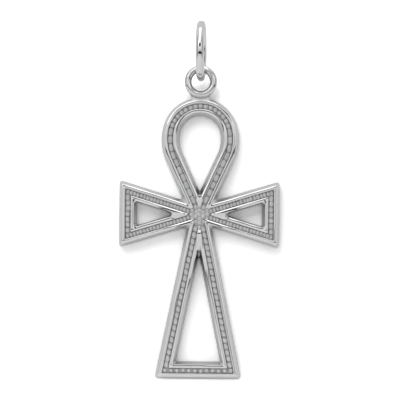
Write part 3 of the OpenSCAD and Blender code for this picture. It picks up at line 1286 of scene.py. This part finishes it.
def polish_group() -> NodeTree:
    """Hand polish: fine streaks of two directions and a soft ripple, for the height and the haze.

    Returns:
        The group's tree.
    """
    tree = new_group(
        "hand_polish",
        {"Vector": (VECTOR, None), "Streaks": (VALUE, 1.0), "Ripple": (VALUE, 1.0)},
        {"Height": VALUE, "Haze": VALUE},
    )
    n = Nodes(tree)
    given = tree.nodes["Group Input"].outputs
    streaks = []
    for turn, scale in ((0.5, (9000, 1100, 1100)), (-0.8, (1200, 1200, 8000))):
        turned = n.add(
            "ShaderNodeMapping", {"Vector": given["Vector"], "Rotation": (0.0, turn, 0.0), "Scale": scale}
        )
        streaks.append(n.noise(turned.outputs[0], 1.0, 2.0))
    both = n.times(*streaks)
    soft = n.times(n.noise(given["Vector"], 900.0, 1.0), given["Ripple"])
    height = n.math("ADD", n.times(both, given["Streaks"]), soft)
    n.fill(tree.nodes["Group Output"], {"Height": height, "Haze": n.span(both, 0.15, 0.4)})
    return tree


def painted_shade_group() -> NodeTree:
    """Painted shade in corners, recesses and on shaded slopes: a mask from the mesh's own value, broken up by
    fine noise.

    Returns:
        The group's tree.
    """
    tree = new_group(
        "painted_corner_shade",
        {"Vector": (VECTOR, None), "Corner": (VALUE, 0.0), "Amount": (VALUE, 1.0)},
        {"Mask": VALUE},
    )
    n = Nodes(tree)
    given = tree.nodes["Group Input"].outputs
    broken = n.span(n.noise(given["Vector"], 2600.0, 3.0), 0.25, 0.7, 0.55, 1.0)
    mask = n.times(n.times(given["Corner"], broken), given["Amount"])
    n.fill(tree.nodes["Group Output"], {"Mask": n.math("MINIMUM", mask, 1.0)})
    return tree


def grey(tone: float) -> Colour:
    """A grey colour."""
    return tone, tone, tone


@dataclass(frozen=True)
class Silver:
    """A silver finish: its colour, gloss, polish marks and painted shade."""

    name: str
    colour: Colour = (0.83, 0.83, 0.835)
    # The colour of the painted shade, mixed in by the mask
    dark: Colour = (0.25, 0.25, 0.25)
    gloss_rough: float = 0.07
    haze_rough: float = 0.13
    streaks: float = 1.0
    ripple: float = 1.0
    bump: float = 0.06
    depth: float = 0.00001
    # How strong the painted shade is, and how much rougher the metal is under it
    painted_shade: float = 0.8
    shade_rough: float = 0.25

    def build(self, polish: NodeTree, painted_shade: NodeTree) -> Material:
        """Builds the material.

        Args:
            polish: the hand polish group.
            painted_shade: the group that paints shade into corners.

        Returns:
            The material.
        """
        material = bpy.data.materials.new(self.name)
        n = nodes_of(material)
        place = n.add("ShaderNodeTexCoord").outputs["Object"]
        corner = n.add("ShaderNodeAttribute", attribute_name="painted_shade").outputs["Fac"]
        given = {"Vector": place, "Streaks": self.streaks, "Ripple": self.ripple}
        height, haze = n.add("ShaderNodeGroup", given, node_tree=polish).outputs
        given = {"Vector": place, "Corner": corner, "Amount": self.painted_shade}
        mask = n.add("ShaderNodeGroup", given, node_tree=painted_shade).outputs["Mask"]
        # The mask mixes the metal towards its dark colour: painted shade
        tones = {0: mask, 6: (*self.colour, 1), 7: (*self.dark, 1)}
        colour = n.add("ShaderNodeMix", tones, data_type="RGBA")
        rough = n.span(haze, 0.0, 1.0, self.gloss_rough, self.haze_rough)
        bump = n.add("ShaderNodeBump", {"Strength": self.bump, "Distance": self.depth, "Height": height})
        n.fill(n.tree.nodes["Principled BSDF"], {
            "Base Color": colour.outputs[2], "Metallic": 1.0, "Normal": bump.outputs[0],
            "Roughness": n.math("ADD", rough, n.times(mask, self.shade_rough)),
        })
        return material


def put(name: str, data: Camera | Light | Mesh) -> Object:
    """A new object in the scene.

    Args:
        name: the object's name.
        data: what it shows.

    Returns:
        The object.
    """
    made = bpy.data.objects.new(name, data)
    bpy.context.scene.collection.objects.link(made)
    return made


def add_piece(name: str, mesh: Mesh, body: Body, node: str, materials: list[Material]) -> Object:
    """Puts a finished mesh in the scene as a piece.

    Args:
        name: the piece's name.
        mesh: its mesh, already in place.
        body: the body it rides on.
        node: the CAD node it stands for.
        materials: its materials, in slot order.

    Returns:
        The object.
    """
    for material in materials:
        mesh.materials.append(material)
    piece = put(name, mesh)
    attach(piece, body.value)
    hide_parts(node)
    LOG.info("%s: %d faces", name, len(mesh.polygons))
    return piece


@dataclass(frozen=True)
class Band:
    """A soft-edged part of the light tent, in degrees.

    It is given by how far off the front it starts and ends, and where round the front it lies. A level
    one is a bar across the tent, given by its two heights and where to the side it lies.
    """

    off: Pair
    round_mid: float
    round_half: float
    light: float
    soft: float = 3.0
    round_soft: float = 8.0
    level: bool = False


@dataclass
class Studio:
    """The light tent, the pale sheet behind the pendant, which runs down to the floor, and the camera.

    The picture's width and centre are in millimetres. The sheet's tones are for the camera, and metal
    sees wall_in_metal all over. Its tone changes at painted_light_from and floor_from, heights in metres;
    below painted_light_from it is painted brighter, painted light that washes out the shadow under the foot.
    """

    picture_w: float = 35.994
    picture_c: Pair = (0.0395, -15.452)
    roll: float = 0.601
    lens: float = 200.0
    sensor: float = 36.0
    gap: float = 0.35
    key_at: tuple[float, float, float] = (-28.0, -84.0, 50.0)
    key_size: float = 60.0
    key_power: float = 0.036
    front: float = 0.72
    wall_tone: float = 1.36
    # Painted light: the sheet's tone under the foot, brighter than the wall to wash out the foot's shadow
    painted_light_tone: float = 2.2
    wall_in_metal: float = 0.7
    ground: float = 0.93
    floor_tone: float = 0.8
    painted_light_from: Pair = (-0.0322, -0.0312)
    floor_from: Pair = (-0.042, -0.036)
    wall_z: Pair = (60.0, -30.0)
    step_back: float = 5.0
    step_z: Pair = (-5.6, -3.4)
    bend_r: float = 12.0
    floor_l: float = 150.0
    half_w: float = 120.0
    bands: tuple[Band, ...] = (
        Band((30, 180), 90, 200, 0.67, 6.0, 1.0),
        Band((60, 84), 0, 42, 0.2, 5.0, 15.0),
        Band((60, 84), 180, 42, 0.2, 5.0, 15.0),
        Band((32, 58), 110, 48, 1.5, 3.0, 8.0),
        Band((30, 60), 90, 9, 0.85, 3.0, 8.0),
        Band((58, 108), 90, 24, 1.5, 3.0, 10.0),
        Band((38, 50), 25, 13, 1.5, 3.0, 6.0),
        Band((4, 17), -22, 36, 0.3, 1.5, 8.0),
        Band((30, 90), -90, 40, 0.5, 6.0, 12.0),
        Band((4, 13), 5, 50, 0.8, 2.0, 10.0, True),
        Band((14.5, 25.5), 4, 28, 0.02, 1.5, 8.0, True),
        Band((-18, -4.5), 6, 50, 0.02, 1.5, 8.0, True),
    )

    def camera(self) -> None:
        """A long lens straight in front, turned a little about its axis as the photo is."""
        data = bpy.data.cameras.new("camera")
        data.lens, data.sensor_width, data.sensor_fit = self.lens, self.sensor, "HORIZONTAL"
        data.clip_start, data.clip_end = 0.01, 10.0
        eye = put("camera", data)
        away = self.picture_w * self.lens / self.sensor
        at = Vector((self.picture_c[0], -away - SIZES.body_t / 2, self.picture_c[1])) * MM
        turn = Matrix.Rotation(math.pi / 2, 4, "X") @ Matrix.Rotation(math.radians(self.roll), 4, "Z")
        eye.matrix_world = Matrix.Translation(at) @ turn
        bpy.context.scene.camera = eye

    def sheet(self) -> None:
        """A pale sheet close behind the pendant.

        Its profile is a line from the front of the floor to the top of the wall. The wall steps back
        behind the jump ring by a smooth step of the height, and a quarter circle joins it to the floor.
        """
        near = SIZES.body_t / 2 + self.gap
        z = np.linspace(*self.wall_z, 181)
        y = near + self.step_back * smooth(z, *self.step_z)
        turn = np.radians(np.linspace(4, 90, 24))
        y = np.concatenate([y, near - self.bend_r * (1 - np.cos(turn)), [near - self.floor_l]])
        z = np.concatenate([z, z[-1] - self.bend_r * np.sin(turn), [z[-1] - self.bend_r]])
        x, y = np.meshgrid(np.linspace(-self.half_w, self.half_w, 49), y)
        points = np.stack([x, y, np.repeat(z[:, None], 49, 1)], -1)
        mesh = bpy.data.meshes.new("sheet")
        faces = grid_quads(len(z), 49, wrap_columns=False)[:, ::-1]
        mesh.from_pydata((points.reshape(-1, 3) * MM).tolist(), [], faces.tolist())
        mesh.polygons.foreach_set("use_smooth", [True] * len(mesh.polygons))
        piece = put("sheet", mesh)
        material = bpy.data.materials.new("pale_sheet")
        n = nodes_of(material)
        n.tree.nodes.remove(n.tree.nodes["Principled BSDF"])
        height = n.add("ShaderNodeSeparateXYZ", {0: n.add("ShaderNodeTexCoord").outputs["Object"]}).outputs[2]
        seen = n.add("ShaderNodeLightPath").outputs["Is Camera Ray"]
        wall, floor, low = (
            n.span(seen, 0.0, 1.0, self.wall_in_metal, tone)
            for tone in (self.wall_tone, self.floor_tone, self.painted_light_tone)
        )
        # Below painted_light_from the sheet is painted brighter for the camera: painted light over the foot's
        # shadow
        lower = n.blend(n.span(height, *self.painted_light_from), low, wall)
        tone = n.blend(n.span(height, *self.floor_from), floor, lower)
        paper = n.add("ShaderNodeBsdfDiffuse", {"Color": tone})
        clear = n.add("ShaderNodeBsdfTransparent")
        behind = n.add("ShaderNodeNewGeometry").outputs["Backfacing"]
        mixed = n.add("ShaderNodeMixShader", {0: behind, 1: paper.outputs[0], 2: clear.outputs[0]})
        n.fill(n.tree.nodes["Material Output"], {"Surface": mixed.outputs[0]})
        mesh.materials.append(material)

    def tent(self) -> None:
        """The tent's light by direction: an even front with soft panels set over it."""
        world = bpy.data.worlds.new("tent")
        bpy.context.scene.world = world
        n = nodes_of(world)
        way = n.add("ShaderNodeSeparateXYZ", {0: n.add("ShaderNodeTexCoord").outputs["Generated"]})
        x, y, z = way.outputs
        back = n.times(y, -1.0)
        off = n.math("DEGREES", n.math("ARCCOSINE", back))
        across = n.math("MAXIMUM", n.math("SQRT", n.math("ADD", n.times(x, x), n.times(z, z))), 1e-6)
        rise = n.math("DEGREES", n.math("ARCSINE", z))
        sideways = n.math("DEGREES", n.math("ARCTAN2", x, back))
        light: object = self.front
        for band in self.bands:
            if band.level:
                measured, aside = rise, n.math("ABSOLUTE", n.math("SUBTRACT", sideways, band.round_mid))
            else:
                mid_x, mid_z = unit(band.round_mid)
                lined = n.math("ADD", n.times(x, float(mid_x)), n.times(z, float(mid_z)))
                measured, aside = off, n.math("DEGREES", n.math("ARCCOSINE", n.math("DIVIDE", lined, across)))
            begun = n.step(measured, band.off[0], band.soft)
            going = n.step(measured, band.off[1], band.soft, 1.0, 0.0)
            near = n.step(aside, band.round_half, band.round_soft, 1.0, 0.0)
            light = n.blend(n.times(n.times(begun, going), near), light, band.light)
        glow = n.fill(n.tree.nodes["Background"], {"Color": (1, 1, 1, 1), "Strength": light})
        plain = n.add("ShaderNodeBackground", {"Color": (*grey(self.ground), 1), "Strength": 1.0})
        seen = n.add("ShaderNodeLightPath").outputs["Is Camera Ray"]
        mixed = n.add("ShaderNodeMixShader", {0: seen, 1: glow.outputs[0], 2: plain.outputs[0]})
        n.fill(n.tree.nodes["World Output"], {"Surface": mixed.outputs[0]})

    def key(self) -> None:
        """One large soft lamp from the upper left, which throws the pendant's shadow on the sheet."""
        data = bpy.data.lights.new("key", "AREA")
        data.shape, data.size, data.energy = "DISK", self.key_size * MM, self.key_power
        lamp = put("key", data)
        at = Vector(self.key_at) * MM
        target = Vector((0, 0, self.picture_c[1])) * MM
        lamp.location = at
        lamp.rotation_euler = (target - at).to_track_quat("-Z", "Y").to_euler()
        lamp.visible_camera = False
        lamp.visible_glossy = False

    def build(self) -> None:
        """Sets up the whole studio."""
        self.camera()
        self.sheet()
        self.tent()
        self.key()
        view = bpy.context.scene.view_settings
        view.view_transform, view.look, view.exposure, view.gamma = "Standard", "None", 0.0, 1.0


# Each finish's second grey is the colour of its painted shade
FINISHES = (
    Silver("polished_rim", gloss_rough=0.04, haze_rough=0.09),
    Silver("groove_floor", grey(0.72), grey(0.2), 0.35, 0.5, streaks=0.4, ripple=1.5, bump=0.35, depth=3e-5),
    Silver("plain_back", gloss_rough=0.16, haze_rough=0.3, streaks=1.6),
    Silver("bright_grain", grey(0.74), grey(0.17), 0.32, 0.44, streaks=0.5, ripple=1.5, bump=0.4),
    Silver("loop_wire", gloss_rough=0.06, haze_rough=0.11),
    Silver("solder", grey(0.78), grey(0.14), 0.34, 0.5, ripple=2.0, bump=0.3),
    Silver("ring_wire", gloss_rough=0.04, haze_rough=0.08),
)


def main() -> None:
    """Builds every piece and the studio."""
    logging.basicConfig(level=logging.INFO, format="%(message)s")
    polish, painted_shade = polish_group(), painted_shade_group()
    rim, floor, back, bead, loop, solder, wire = (finish.build(polish, painted_shade) for finish in FINISHES)
    add_piece("cast_frame", Casting().build(), Body.ANKH, "ankh", [rim, floor, back])
    grains, hanging = Granulation(), HangingLoop()
    for name, made, finish in (
        ("head_grains", grains.head(), bead),
        ("arm_grains", grains.arms(), bead),
        ("leg_grains", grains.leg(), bead),
        ("crossing_grains", grains.crossing(), bead),
        ("hanging_loop", [hanging.wire()], loop),
        ("loop_solder", [hanging.solder()], solder),
    ):
        add_piece(name, build_mesh(name, made), Body.ANKH, "ankh", [finish])
    add_piece("jump_ring_wire", JumpRing().build(), Body.RING, "jump_ring", [wire])
    Studio().build()


if __name__ == "__main__":
    main()
